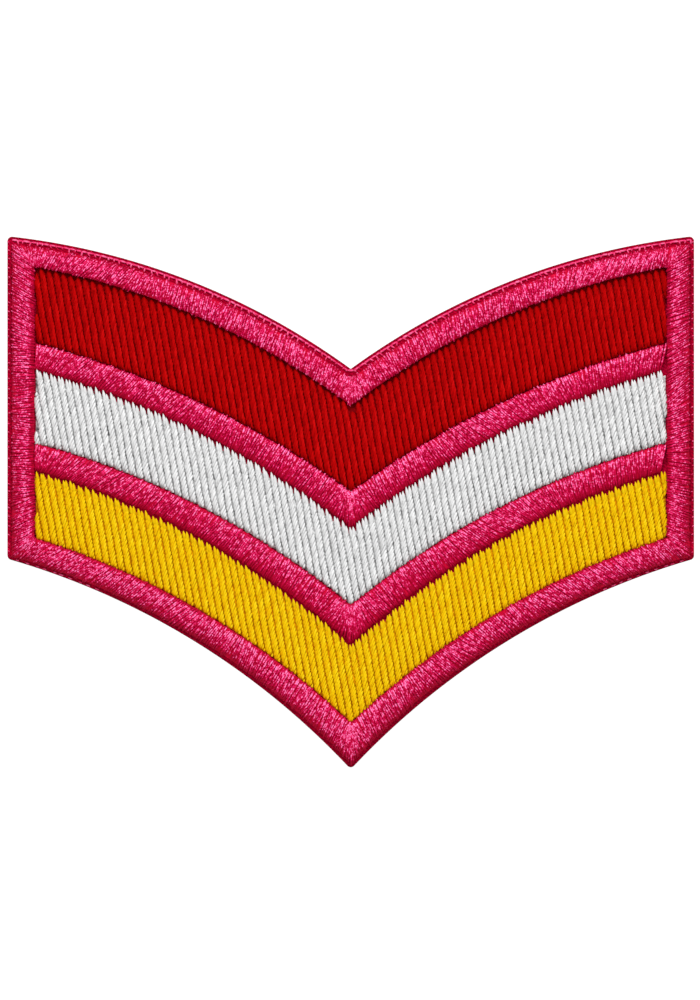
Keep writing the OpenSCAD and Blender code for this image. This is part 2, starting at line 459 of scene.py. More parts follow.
def satin_coats(colours):
    """The thread of the roll and the ridges, and the padding under it, which is
    coloured crimson as painted shade. Its bright filaments have three flat sides, which
    give pink glints along the thread; the light pinks at the top of its stops are
    painted highlights, and the crimsons at the bottom painted shade."""
    name, under = "trilobal_polyester_satin_thread", "satin_underlay_painted_shade"
    if name in bpy.data.materials:
        return [bpy.data.materials[name], bpy.data.materials[under]]
    low, high = ((0.0, "#AC0026"), (0.3, "#CE023E")), ((0.72, "#F4347C"), (0.9, "#FF84BC"))
    stops = (*low, (0.52, colours.pink), *high)
    look = dict(shine=0.55, roughness=0.35, turn_mm=1.3, streak_mm=0.32, ply_mm=0.06, start=-1.96)
    # The last two weights paint shade into the colour: the marked shade of each place, and darker
    # flanks.
    mix = dict(plies=0.15, fibres=4.8, tone=0.1, patches=0.06, depth=-0.45, flank=-0.9)
    thread = thread_coat(name, stops, gloss="#FF50A0", mix=mix, **look)
    return [thread, underlay_coat(under, "#AC0024", "#D00836")]


# Settings


def size_setting(name, description, mm):
    """A size that a user can change, from its default in millimetres."""
    return bpy.props.FloatProperty(
        name=name, description=description, default=mm * MM, unit="LENGTH", precision=5
    )


def colour_setting(name, description, code):
    """A colour that a user can change."""
    return bpy.props.FloatVectorProperty(
        name=name, description=description, default=linear(code), subtype="COLOR"
    )


class PatchSizes(bpy.types.PropertyGroup):
    satin_pitch: size_setting("Satin pitch", "Distance from thread to thread along a satin band", 0.3)
    satin_width: size_setting("Satin thread width", "Width of a thread flattened over its padding", 0.31)
    fill_pitch: size_setting("Fill pitch", "Distance from strand to strand in a column", 0.53)
    fill_width: size_setting("Fill strand width", "Width of a strand in a stitch column", 0.34)


class PatchColours(bpy.types.PropertyGroup):
    pink: colour_setting("Satin", "Thread of the roll and the ridges", "#DA1258")
    red: colour_setting("Red stripe", "Thread of the upper stripe", "#B00406")
    white: colour_setting("White stripe", "Thread of the middle stripe", "#E2E2E2")
    yellow: colour_setting("Yellow stripe", "Thread of the lower stripe", "#E8C008")


# Satin bands


def near_min(a, b, k):
    """The lesser of two, with a soft turn of size k from one to the other."""
    return -k * np.logaddexp(-a / k, -b / k)


def near_max(a, b, k):
    """The greater of two, with the same soft turn."""
    return k * np.logaddexp(a / k, b / k)


def fade(distance, reach):
    """1 at no distance, and falling off with that reach."""
    return np.exp(-distance / reach)


def hump(place, middle, reach):
    """1 in the middle, and falling off to both sides with that reach."""
    return np.exp(-(((place - middle) / reach) ** 2))


# Threads turn upright this near the V, and turn off this near the end of an edge.
FAN, TURN = 0.6, 0.35
# The feet of threads stand off the drawn edges: above a ridge's lower edge, in
# from the lip at the top, out over it at the sides, and below the red stripe's top.
FOOT_ROOM, LIP_ROOM, SIDE_ROOM, TUCK = 0.18, 0.22, 0.2, 0.12
# The fan of threads at the lower corner reaches further out, over this distance.
FAN_OUT, FAN_OUT_REACH = np.array([0.14, -0.14]), 1.2
WING_POINTS = 260

# Threads lie askew across their band. The first row holds distances out from the
# middle, and the others how far the lower foot lies further out than square, in
# the right wing and in the left.
TOP_SLANT = (
    (0, 4, 8, 16, 24, 31, 44.4),
    (0, -0.4, -0.7, -0.3, -0.8, -2.0, -1.4),
    (0, -0.7, -0.2, -0.7, 0.2, 1.5, 1.0),
)
RIDGE_SLANT = (
    (0, 4, 10, 18, 24, 31, 41.4),
    (0, -0.6, 0.3, 1.8, 1.0, -0.8, -1.6),
    (0, -0.4, 0.1, 0.1, 1.1, 1.8, 0.8),
)
LOW_SLANT = (
    (0, 4, 12, 17, 22, 30, 37, 44.4),
    (0, -0.8, 0.2, 1.4, 1.0, 1.4, 2.2, 1.6),
    (0, -0.9, -0.3, 0.0, 0.9, 1.7, 2.3, 1.6),
)
# At the sides: share of the way up, and how far the inner foot lies lower.
SIDE_SLANT = (
    (0, 0.12, 0.25, 0.4, 0.55, 0.8, 1),
    (-2.0, -1.4, -0.3, 1.0, 1.7, 1.7, 1.6),
    (-1.8, -0.9, 0, 0, 0.1, 1.5, 1.8),
)


def square_off(upper, upper_grow, lower, x):
    """How far sideways a thread runs that crosses a wing squarely from x."""
    y = edge_y(upper, x, upper_grow)
    slope = np.arctan(np.gradient(y, x))
    return (y - edge_y(lower, x)) * np.cos(slope) * np.sin(slope)


def line(x, y):
    return np.stack([x, y], axis=-1)


def wing_feet(wing):
    """Outer and inner feet of the roll's threads in one wing, drawn to the right."""
    lip, out_x = LIP + LIP_ROOM, ROLL_X + SIDE_ROOM
    x = np.linspace(0, out_x, WING_POINTS)

    def slant(rows, at):
        return np.interp(at, rows[0], rows[1 + wing])

    across = square_off(CUT_TOP, -lip, RED_TOP, x) * np.tanh(x / FAN)
    inner_x = near_min(x + across + slant(TOP_SLANT, x), INNER_X, TURN)
    top = line(x, edge_y(CUT_TOP, x, -lip)), line(inner_x, edge_y(RED_TOP, inner_x, -TUCK))

    y = np.linspace(top[0][-1, 1], edge_y(CUT_LOW, out_x, LOW_LIP), WING_POINTS)
    inner_y = y - slant(SIDE_SLANT, (y - y[-1]) / (y[0] - y[-1]))
    inner_y = near_min(inner_y, edge_y(RED_TOP, INNER_X), TURN)
    inner_y = near_max(inner_y, edge_y(YELLOW_LOW, INNER_X), TURN)
    side = line(np.full_like(y, out_x), y), line(np.full_like(y, INNER_X), inner_y)

    across = -square_off(CUT_LOW, LOW_LIP, YELLOW_LOW, x)
    inner_x = near_min(x - across - slant(LOW_SLANT, x), INNER_X, TURN)
    inner_x = near_max(inner_x, 0.0, TURN)[::-1]
    x = x[::-1]
    low = line(x, edge_y(CUT_LOW, x, LOW_LIP)), line(inner_x, edge_y(YELLOW_LOW, inner_x))
    feet = [np.concatenate([a, b[1:-1], c]) for a, b, c in zip(top, side, low)]
    away = feet[0] - low[0][0]
    spread = np.exp(-(away**2).sum(axis=1) / FAN_OUT_REACH**2)
    feet[0] = feet[0] + spread[:, None] * FAN_OUT
    return feet


def ring_feet():
    """Outer and inner feet of the roll's threads, once round the patch."""
    left = [foot[-2:0:-1] * [-1, 1] for foot in wing_feet(1)]
    return [np.concatenate([r, l, r[:1]]) for r, l in zip(wing_feet(0), left)]


def ridge_feet(upper, lower, rise):
    """Upper and lower feet of a ridge's threads, from the left side to the right.
    The upper feet are that far above the ridge's upper edge."""
    x = np.linspace(0, REACH, WING_POINTS)
    across = square_off(upper, -GAP, lower, x) * np.tanh(x / FAN)
    wings = []
    for rows in RIDGE_SLANT[1:]:
        low_x = near_min(x + across + np.interp(x, RIDGE_SLANT[0], rows), REACH, TURN)
        wings.append([line(x, edge_y(upper, x, rise)), line(low_x, edge_y(lower, low_x, FOOT_ROOM))])
    return [np.concatenate([left[:0:-1] * [-1, 1], right]) for right, left in zip(*wings)]


def dome(turn, shift):
    """Place across a dome, from 1 at the outer foot to -1, and share of its height."""
    even = np.sign(np.cos(turn)) * np.abs(np.cos(turn)) ** CROWN
    return even - shift * (1 - even**2), np.abs(np.sin(turn)) ** CROWN


def between(levels, across):
    """Height of the ground under a dome, from its level at the outer and inner foot."""
    return (levels[0] * (1 + across) + levels[1] * (1 - across)) / 2


def shade_painted_on_flanks(across, length, out, closed, shade, painted_shade_at_feet):
    """How much shade is painted into the colour at each place of a satin thread;
    below zero it is a painted highlight. Where its outer and inner flank face down
    the patch, shade says how deep the painted shade is, how far up it reaches, and how
    much deeper it is at the foot. The last argument is the shade painted at feet that
    face up."""
    depth = 0
    for side, (most, reach, deep) in zip((1, -1), shade):
        away = length[:, None] / 2 * (1 - side * across)
        facing = side * out[:, :, 1]
        aside = np.abs(out[:, :, 0]) ** 4
        # Where a flank faces up the patch, shade is painted right at its foot, and,
        # except on the roll's outer flank, a highlight is painted just above it.
        if closed and side > 0:
            foot = 0.6 * fade(away, 0.3)
        else:
            foot = painted_shade_at_feet * fade(away, 0.15) - (1.0 if closed else 0.65) * hump(away, 0.5, 0.32)
        depth = depth + np.clip(facing, 0, 1) * foot
        # Where a flank faces down, shade is painted far up it, and where it faces
        # sideways, shade is painted near its foot.
        shadow = most * fade(away, reach) + deep * fade(away, 0.26)
        depth = depth + np.clip(-facing, 0, 1) * shadow
        if side > 0:
            depth = depth + (1.05 + 0.25 * out[:, :, 0]) * aside * fade(away, 1.6)
        else:
            depth = depth + 2.0 * aside / (1 + np.exp((away - 0.5) / 0.09))
    return depth


# A thread spans this share of the half circle over its padding, in so many points,
# and is this high for its width.
SPAN_START, SPAN, THREAD_POINTS, SATIN_FLATNESS = 0.03, 0.94, 18, 0.75


def satin(scene, name, node_name, feet, top, shift, closed, levels, shade, painted_shade_at_feet, seed):
    """Lays a satin band, its crest at the height top: threads over padding, whose
    outer and inner feet come up at those levels above the cloth. Shade and highlights
    are painted into the threads' colour by the function that shades the flanks, from
    the shade arguments."""
    sizes, rng, piece = scene.patch_sizes, np.random.default_rng(seed), Piece()
    high = top - CLOTH_TOP
    outer, inner = feet
    step = np.maximum(*[np.linalg.norm(np.diff(foot, axis=0), axis=1) for foot in feet])
    run = np.concatenate([[0], np.cumsum(step)])
    count = int(run[-1] / (sizes.satin_pitch / MM))
    place = (np.arange(count) + 0.5 + rng.uniform(-0.15, 0.15, count)) * run[-1] / count

    def foot(points, at):
        at = at % run[-1] if closed else np.clip(at, 0, run[-1])
        return np.stack([np.interp(at, run, points[:, i]) for i in (0, 1)], axis=-1)

    # The stitches are drawn askew together, for some millimetres at a time.
    phase = rng.uniform(0, 2 * np.pi, 2)
    slant = 0.2 * np.sin(place / 3.1 + phase[0]) + 0.12 * np.sin(place / 1.1 + phase[1])
    slant += rng.normal(0, 0.1, count)
    start, end = foot(outer, place + slant), foot(inner, place - slant)

    # No two threads have quite the same length, place, height and bend.
    half_w = sizes.satin_width / MM / 2
    half_h = half_w * SATIN_FLATNESS
    t = np.linspace(0, 1, THREAD_POINTS)
    across, height = dome((SPAN_START + SPAN * t) * np.pi, shift)
    middle, reach = (start + end) / 2, (start - end) / 2
    length = np.linalg.norm(start - end, axis=1)
    reach *= ((length - half_w + rng.uniform(-0.2, 0.2, count)) / length)[:, None]
    middle += unit(reach) * rng.uniform(-0.12, 0.12, (count, 1))
    flat = middle[:, None] + reach[:, None] * across[None, :, None]

    def wave(least, most):
        """A sine along each thread, of its own phase and length."""
        phase = rng.uniform(0, 2 * np.pi, (count, 1))
        return np.sin(phase + t * rng.uniform(least, most, (count, 1)))

    ride = rng.uniform(-0.04, 0.04, (count, 1)) + 0.03 * wave(3, 9)
    base = between(levels, across)
    level = CLOTH_TOP + base + (high - half_h - base + ride * height) * height
    along = unit(np.stack([-reach[:, 1], reach[:, 0]], axis=-1))
    flat += along[:, None] * (0.05 * wave(2, 6) * height)[:, :, None]

    # Threads are narrower at their feet, and most of all in the corners of the roll.
    out = np.zeros((count, 1, 3))
    out[:, 0, :2] = unit(reach)
    up = out * across[None, :, None] + UPRIGHT * (0.25 + height)[None, :, None]
    taper = 0.7 + 0.3 * height**0.5
    widths = half_w * taper * rng.uniform(0.85, 1.15, (count, 1))
    corner = np.clip(np.abs(start[:, 0]) - INNER_X, 0, 1) * np.clip(3 * np.abs(out[:, 0, 1]) - 1, 0, 1)
    widths *= 1 - 0.45 * corner[:, None] * np.clip(0.5 + across, 0, 1)
    # Painted shade and highlights for each place of the threads, by how their flanks face
    depth = shade_painted_on_flanks(across, length, out, closed, shade, painted_shade_at_feet)
    heights = widths * SATIN_FLATNESS
    add_threads(piece, at_height(flat, level), up, widths, heights, depth, (0.1, 1.0), rng)

    # Padding under the threads, which stands on the cloth
    keep = np.arange(0, len(run) - (1 if closed else 0), 4)
    a, b = outer[keep], inner[keep]
    across, height = dome(np.linspace(0, np.pi, 9), shift)
    base = between(levels, across)
    level = base + (high - 1.1 * half_h - base) * height
    across, level = np.pad(across, 1, "edge"), np.pad(level, 1)
    core = ((a + b) / 2)[:, None] + ((a - b) / 2 * 0.98)[:, None] * across[None, :, None]
    add_loft(piece, at_height(core, CLOTH_TOP - SINK + level), (0.0, 0.09), closed, slot=1)
    piece.build(name, satin_coats(scene.patch_colours), [node_name], "pink_satin")


class PATCH_OT_border(bpy.types.Operator):
    """Lays the satin roll round the edge of the patch."""

    bl_idname = "patch.border"
    bl_label = "Satin Roll"

    def execute(self, context):
        # Painted shade of the roll's outer and inner flanks where they face down: how deep, how far up
        # and how much deeper at the foot; and 2.2, the shade painted at feet that face up.
        shade = ((0.4, 4.0, 6.5), (0.6, 1.3, 0.2))
        shape = (ring_feet(), ROLL_TOP, CREST_SHIFT, True, (-0.05, 0.78), shade, 2.2)
        satin(context.scene, "satin_roll", "border", *shape, seed=11)
        return {"FINISHED"}


class PATCH_OT_ridges(bpy.types.Operator):
    """Lays the two satin ridges between the stripes."""

    bl_idname = "patch.ridges"
    bl_label = "Satin Ridges"

    def execute(self, context):
        # Threads of the lower ridge start below its edge, where the white columns end.
        rows = (
            ("upper", RED_LOW, WHITE_TOP, 0.0, 0.2, 21),
            ("lower", WHITE_LOW, YELLOW_TOP, -0.2, 2.5, 22),
        )
        # Painted shade of the ridges' flanks that face down, as for the roll; the fifth column of rows
        # is the shade painted at their upper feet, which face up.
        shade = ((0.0, 1.0, 0.0), (1.6, 1.9, 4.0))
        for name, upper, lower, rise, painted_shade_at_feet, seed in rows:
            names = f"satin_ridge_{name}", f"{name}_divider"
            shape = (ridge_feet(upper, lower, rise), RIDGE_TOP, 0.0, False, (0.45, 0.45), shade)
            satin(context.scene, *names, *shape, painted_shade_at_feet, seed)
        return {"FINISHED"}


# Stripes


UP_AXIS = np.array([-np.sin(COLUMN_LEAN), np.cos(COLUMN_LEAN)])
OUT_AXIS = np.array([np.cos(COLUMN_LEAN), np.sin(COLUMN_LEAN)])
# Middles of the columns, and places along them at which they are tried for ends
PLACES = (np.arange(-60, 60) + 0.5) * COLUMN_PITCH
TRIED = np.arange(-60.0, 60.0, 0.05)
# A column's ends are also sought this far to each side of its middle, and a
# column shorter than this is left out.
SIDE_STEP, LEAST_COLUMN = 0.22, 0.6
# A column is a rounded square: its radius for its pitch, and height for its radius
SQUARENESS, FULLNESS, TALLEST = 0.52, 0.456, 1.08
# The two yarns that lie side by side in a strand make it this flat.
STRAND_FLATNESS = 0.13
# Shade painted at the end of a column fades over this distance.
END_REACH = 0.6

# How columns end at the top: places of their loops to each side; length, half width
# and rise of a loop; how much it narrows and how suddenly; and how far below the
# edge of the stripe the strands, the core and the underlay end
Tops = namedtuple("Tops", "sides tall stout rise narrowing power strands core underlay")
POINTED = Tops((0.0,), 2.0, 0.29, -0.15, 0.7, 2.0, 0.22, 0.3, 0.1)
FORKED = Tops((-1.0, 1.0), 1.3, 0.24, 0.12, 0.85, 1.3, 0.16, 0.45, 0.5)


def section(theta):
    """A column's section, a rounded square that stands higher on the right."""
    s, c = np.sin(theta), np.cos(theta)
    s, c = np.sign(s) * np.abs(s) ** SQUARENESS, np.sign(c) * np.abs(c) ** SQUARENESS
    return s, c * (1 + 0.12 * s)


def lift(across, along, index, level):
    """Points from a place across a column, along it and above the cloth."""
    flat = (PLACES[index] + across)[..., None] * OUT_AXIS + along[..., None] * UP_AXIS
    return at_height(flat, level)


class Stripe:
    """One stripe of leaning columns, each like a cord whose strands run up to the
    right over a round core. lay is their angle off the column, over how far its
    loops reach past its end, low_room how far above its lower edge the stripe ends,
    and the argument after it how much shade is painted at the tops and at the feet
    of the columns."""

    def __init__(self, upper, lower, tops, lay, over, low_room, end_shade, sizes, rng):
        self.upper, self.lower, self.tops, self.over = upper, lower, tops, over
        self.low_room, self.end_shade, self.rng, self.piece = low_room, end_shade, rng, Piece()
        self.pitch = sizes.fill_pitch / MM
        self.half_w = sizes.fill_width / MM / 2
        self.half_h = self.half_w * STRAND_FLATNESS
        self.radius = COLUMN_PITCH * FULLNESS - self.half_h
        self.axis_z = STRIPE_TOP - TALLEST * self.radius - self.half_h - 0.02
        self.run = 2 * self.radius / np.tan(np.radians(lay))
        spans = [self.span(PLACES + step) for step in (-SIDE_STEP, 0, SIDE_STEP)]
        found, self.lows, self.highs = (np.array(rows) for rows in zip(*spans))
        self.low, self.high = self.lows[1], self.highs[1]
        self.kept = np.flatnonzero(found[1] & (self.high - self.low > LEAST_COLUMN))
        if tops is POINTED:
            # The needle pulls the fill down below the point of the roll.
            top_x = PLACES * OUT_AXIS[0] + self.high * UP_AXIS[0]
            self.highs = self.highs - 0.75 * hump(top_x, 0.15, 0.35)
            self.high = self.highs[1]
        self.wobble = rng.uniform(0, 2 * np.pi, (len(PLACES), 4))

    def span(self, across):
        """Lowest and highest place in the stripe along lines at those distances across."""
        points = across[:, None, None] * OUT_AXIS + TRIED[None, :, None] * UP_AXIS
        out, y = np.clip(np.abs(points[..., 0]), 0, REACH), points[..., 1]
        fits = (y < edge_y(self.upper, out, -GAP)) & (y > edge_y(self.lower, out, self.low_room))
        fits &= np.abs(points[..., 0]) < REACH
        first = TRIED[np.argmax(fits, axis=1)]
        last = TRIED[len(TRIED) - 1 - np.argmax(fits[:, ::-1], axis=1)]
        return fits.any(axis=1), first, last

    def sway(self, along, index):
        """How far a column wanders sideways, and how much thicker it is there."""
        rates = enumerate((0.9, 3.1, 2.2, 5.3))
        bend = [np.sin(along * rate + self.wobble[index, i]) for i, rate in rates]
        return 0.03 * bend[0] + 0.02 * bend[1], 1 + 0.05 * bend[2] + 0.05 * bend[3]

    def room(self, across, along, index):
        """How far a strand still is below a column's upper end and above its lower."""
        ends = []
        for left, middle, right in (self.highs[:, index], self.lows[:, index]):
            step = np.where(across < 0, left - middle, right - middle)
            ends.append(middle + np.clip(step * np.abs(across) / SIDE_STEP, -0.6, 0.6))
        # A column ends in an arch.
        arch = self.tops.strands + 0.6 * (np.abs(across) / self.radius) ** 2
        return ends[0] - arch - along, along - ends[1]

    def add_strands(self):
        """The strands of all columns, cut where they would leave the stripe."""
        rng, run, radius = self.rng, self.run, self.radius
        starts, columns = [], []
        for index in self.kept:
            first = self.low[index] - run + rng.uniform(0, self.pitch)
            begin = np.arange(first, self.high[index], self.pitch)
            starts.append(begin + rng.normal(0, 0.04, len(begin)))
            columns.append(np.full(len(begin), index))
        start, column = np.concatenate(starts), np.concatenate(columns)

        theta = np.linspace(-0.53, 0.53, 61) * np.pi
        aside = section(theta)[0]
        along = start[:, None] + run * (0.5 + aside / 2)
        index = np.broadcast_to(column[:, None], along.shape)
        to_top, to_low = self.room(radius * aside + 0 * along, along, index)
        fits = (to_top > 0) & (to_low > 0)
        enough = fits.sum(axis=1) >= 12
        start, column, fits = start[enough], column[enough], fits[enough]
        first = theta[np.argmax(fits, axis=1)]
        last = theta[len(theta) - 1 - np.argmax(fits[:, ::-1], axis=1)]

        count = len(start)
        theta = first[:, None] + (last - first)[:, None] * np.linspace(0, 1, 8)
        aside, above = section(theta)
        along = start[:, None] + run * (0.5 + aside / 2)
        index = np.broadcast_to(column[:, None], along.shape)
        shift, breadth = self.sway(along, index)
        across = breadth * radius * aside + shift
        to_top, to_low = self.room(across, along, index)
        # The strands dip where the needle pulls them down at the two ends.
        level = self.axis_z + radius * above + rng.normal(0, 0.015, (count, 1))
        level -= 0.12 * fade(np.clip(to_low, 0, None), 0.2)
        level -= 0.15 * fade(np.clip(to_top, 0, None), 0.3)
        out = np.append(OUT_AXIS, 0.0)
        up = (0.7 * aside)[..., None] * out + np.abs(above)[..., None] * UPRIGHT
        # Towards the right the strands draw together and part into beads.
        right, left = np.clip(aside, 0, 1), np.clip(-aside, 0, 1)
        uneven = rng.uniform(0.9, 1.1, (count, 1))
        width = self.half_w * (1 - 0.35 * right**3 + 0.8 * left**2) * uneven
        height = self.half_h * (1 + right**2 * rng.uniform(0.0, 0.5, (count, 1)))
        # Shade is painted on the left side of a column, where its neighbour would
        # shade it, and a highlight is painted on its right shoulder.
        depth = np.clip((0.3 - aside) / 0.6, 0, 1) - 0.6 * hump(aside, 0.62, 0.25)
        # Shade painted at the top and at the foot of each column
        depth += self.end_shade[0] * hump(to_top, 0, END_REACH)
        depth += self.end_shade[1] * hump(to_low, 0, END_REACH)
        centres = lift(across, along, index, level)
        add_threads(self.piece, centres, up, width, height, depth, (0.3, 1.0), rng)

    def add_cores(self):
        """The core of each column, with round ends."""
        index = self.kept
        low, top = self.low[index, None], (self.high - self.tops.core)[index, None]
        t = 0.5 - 0.5 * np.cos(np.linspace(0, np.pi, 17))
        along = low + (top - low) * t
        index = np.broadcast_to(index[:, None], along.shape)
        shift, breadth = self.sway(along, index)
        near = np.minimum(along - low + 0.04, (top - along) * 0.7 + 0.04)
        near = np.clip(near / self.radius, 0.05, 1)
        size = (self.radius + 0.03) * breadth * np.sqrt(1 - (1 - near) ** 2)
        centres = lift(shift, along, index, self.axis_z - 0.04 - 0.1 * (1 - near))
        # The core gets an even painted shade.
        add_threads(self.piece, centres, UPRIGHT, size, size * 0.97, 0.5, (0.2, 0.3), self.rng, 7)

    def add_loops(self):
        """The pointed loops at the top of each column, over the foot of the satin."""
        rng, tops = self.rng, self.tops
        index = np.repeat(self.kept, len(tops.sides))
        side = np.tile(tops.sides, len(self.kept))
        tip = self.highs[1 + side.astype(int), index]
        fits = (np.abs(tip - self.high[index]) < 0.8) & (self.high[index] - self.low[index] > 1.6)
        index, side, tip = index[fits], side[fits], tip[fits]
        count = len(index)
        t = np.array([[0, 0.35, 0.65, 0.75, 0.84, 0.92, 1]])
        over = self.over + rng.uniform(-0.18, 0.18, (count, 1)) - 0.05 * side[:, None]
        along = tip[:, None] - tops.tall + (tops.tall + over) * t
        across = side[:, None] * (0.14 + 0.04 * t) + rng.normal(0, 0.03, (count, 1))
        index = np.broadcast_to(index[:, None], along.shape)
        level = STRIPE_TOP - self.half_h - 0.03 - 0.35 * (1 - t) ** 2 + tops.rise * t**3
        centres = lift(across, along, index, level)
        up = np.zeros(centres.shape)
        up[..., :2] = 0.3 * side[:, None, None] * OUT_AXIS
        up[..., 2] = 1.0
        point = np.clip(t / 0.4 - 1.5, 0, 1)
        width = tops.stout * (1 - tops.narrowing * point**tops.power) * np.ones((count, 1))
        # The loops get a little painted shade, and more towards their tips at the top.
        depth = 0.2 + self.end_shade[0] * hump(tops.tall * (1 - t), 0, END_REACH)
        add_threads(self.piece, centres, up, width, width * 0.7, depth, (0.1, 0.2), rng, 6, 0.4)

    def add_underlay(self):
        """The underlay below the columns, which stands on the cloth."""
        x = np.linspace(-REACH + 0.1, REACH - 0.1, 181)
        top_y = edge_y(self.upper, x, -self.tops.underlay)
        low_y = edge_y(self.lower, x, self.low_room + 0.1)
        base, bed = CLOTH_TOP - SINK, self.axis_z + 0.1 * self.radius
        corners = ((low_y, base), (low_y, bed), (top_y, bed), (top_y, base))
        sections = np.stack([np.stack([x, y, np.full_like(x, z)], -1) for y, z in corners], axis=1)
        add_loft(self.piece, sections, (0.0, 0.1), False, slot=1)


class PATCH_OT_stripes(bpy.types.Operator):
    """Lays the red, white and yellow stripes as leaning columns of strands."""

    bl_idname = "patch.stripes"
    bl_label = "Stripes"

    def execute(self, context):
        scene = context.scene
        # The shape of each stripe, with the lay in degrees, the shade painted at the
        # tops and at the feet of its columns, and its seed
        rows = {
            "red": (RED_TOP, RED_LOW, POINTED, 22, -0.14, GAP, (1.4, 1.3), 31),
            "white": (WHITE_TOP, WHITE_LOW, FORKED, 36, 0.3, -0.18, (0, 1.9), 32),
            "yellow": (YELLOW_TOP, YELLOW_LOW, FORKED, 33, 0.12, -0.02, (0, 0.7), 33),
        }
        # Thread colour for painted deep shade, for painted shade and for painted light, its
        # gloss, and the underlay's two colours, mostly darker than the thread as painted shade
        dyes = {
            "red": ("#7A0002", "#9C0204", "#D81414", "#FF2A20", "#780006", "#A0000A"),
            "white": ("#A0A0A0", "#D2D2D2", "#FFFFFF", "#FFFFFF", "#505050", "#FCFCFC"),
            "yellow": ("#D08800", "#E4B004", "#F8DE28", "#FFD040", "#C06C00", "#FFB800"),
        }
        # Fill thread lies tight and steep, so it glints less than satin.
        look = dict(shine=0.25, roughness=0.5, turn_mm=1.3, streak_mm=0.6, ply_mm=0.02, start=0.06)
        # The last two weights paint shade into the colour: the marked shade of each place, and darker
        # flanks.
        mix = dict(fibres=0.3, tone=0.14, patches=0.08, depth=-0.12, flank=-0.12)
        for name, (*shape, seed) in rows.items():
            stripe = Stripe(*shape, scene.patch_sizes, np.random.default_rng(seed))
            stripe.add_strands()
            stripe.add_cores()
            stripe.add_loops()
            stripe.add_underlay()
            deep, shaded, lit, gloss, dark, light = dyes[name]
            full = getattr(scene.patch_colours, name)
            stops = ((0.0, deep), (0.18, shaded), (0.34, full), (0.6, lit))
            coat = thread_coat(f"polyester_fill_thread_{name}", stops, gloss, mix=mix, **look)
            under = underlay_coat(f"polyester_underlay_{name}", dark, light)
            stripe.piece.build(f"stripe_{name}", [coat, under], [f"{name}_stripe"], f"{name}_fill")
        return {"FINISHED"}


# Base cloth and its edge stitches


def cloth_edges(x):
    """Upper and lower cut edge of the cloth at x, with its rounded corners."""
    out = np.abs(x)

    def bulge(centre):
        return np.sqrt(np.clip(CORNER_R**2 - (out - centre[0]) ** 2, 0, None))

    def joint(centre, edge):
        """Where a small corner arc runs into the long arc of an edge."""
        hub = arc_centre(edge)
        return (hub + (centre - hub) * edge[3] / np.linalg.norm(centre - hub))[0]

    upper, lower = drawn_y(CUT_TOP, out), drawn_y(CUT_LOW, out)
    upper = np.where(out > joint(TOP_CORNER, CUT_TOP), TOP_CORNER[1] + bulge(TOP_CORNER), upper)
    lower = np.where(out > joint(LOW_CORNER, CUT_LOW), LOW_CORNER[1] - bulge(LOW_CORNER), lower)
    lower = np.where(out < joint(TIP, CUT_LOW), TIP[1] - bulge(TIP), lower)
    return upper - MID_Y, lower - MID_Y


# The hot knife rounds the cut edge of the cloth a little.
BEVEL = 0.07
# How much lighter or darker than plain twill the cloth is: on the cut edge, beside
# it, on the lip at the sides (painted shade, from the roll beside it) and elsewhere
# (painted light), and where it is sewn over (painted light in the shaded gaps
# between stitches)
CUT_TONE, RIM_TONE, SIDE_PAINTED_SHADE, LIP_PAINTED_LIGHT, SEWN_PAINTED_LIGHT = -0.5, -0.2, -0.12, 0.45, 0.2


class PATCH_OT_base_cloth(bpy.types.Operator):
    """Cuts the twill cloth that carries the stitching."""

    bl_idname = "patch.base_cloth"
    bl_label = "Base Cloth"

    def execute(self, context):
        corner = HALF_W - CORNER_R * (1 - np.sin(np.linspace(0, 1, 9) * np.pi / 2))
        half = np.concatenate([np.linspace(0, 0.6, 7), np.linspace(0.9, corner[0] - 0.3, 120), corner])
        x = np.concatenate([-half[:0:-1], half])
        upper, lower = cloth_edges(x)
        # Across the cloth there are points at the foot of the roll, where shade starts.
        ends = np.broadcast_to([0, 0.8, 1.8], (len(x), 3))
        width = (upper - lower)[:, None] - 2 * BEVEL
        middle = 2.2 + (width - 4.4) * np.linspace(0, 1, 21)
        inner = np.concatenate([ends, middle, width - ends[:, ::-1]], axis=1)
        inner += lower[:, None] + BEVEL
        high, low, n = upper[:, None], lower[:, None], inner.shape[1]
        y = np.concatenate([inner, high, high, inner[:, ::-1], low, low], axis=1)
        edge = CLOTH_TOP - BEVEL
        z = np.repeat([0, BEVEL, edge, CLOTH_TOP, edge, BEVEL], [n, 1, 1, n, 1, 1])
        sections = np.stack(np.broadcast_arrays(x[:, None], y, z), axis=-1)
        tone = np.zeros(y.shape)
        tone[:, [n, n + 1, 2 * n + 2, 2 * n + 3]] = CUT_TONE
        tone[:, [n + 2, 2 * n + 1]] = RIM_TONE
        # Painted shade on the lip at the sides, and painted light on the rest of the lip and under the
        # stitching
        lip = np.where(np.abs(x) > ROLL_X, SIDE_PAINTED_SHADE, LIP_PAINTED_LIGHT)
        tone[:, n + 5 : 2 * n - 1] = np.where(np.abs(x) < INNER_X + 1, SEWN_PAINTED_LIGHT, lip)[:, None]
        piece = Piece()
        add_loft(piece, sections[:, ::-1], (0.0, 1.0), False, tone[:, ::-1].ravel())
        cloth = piece.build("base_twill", [twill_coat()], ["base_cloth"], "twill_cloth")
        width = (CAD_HIGH - CAD_LOW).to_tuple()[:2]
        return {"FINISHED"}


def needle_holes(path, spacing, rng):
    """Needle holes along a path, a little unevenly spaced."""
    steps = np.linalg.norm(np.diff(path, axis=0), axis=1)
    run = np.concatenate([[0], np.cumsum(steps)])
    count = int(run[-1] / spacing)
    place = (np.arange(count + 1) + rng.uniform(-0.18, 0.18, count + 1)) * run[-1] / count
    return np.stack([np.interp(place, run, path[:, i]) for i in (0, 1)], axis=-1)


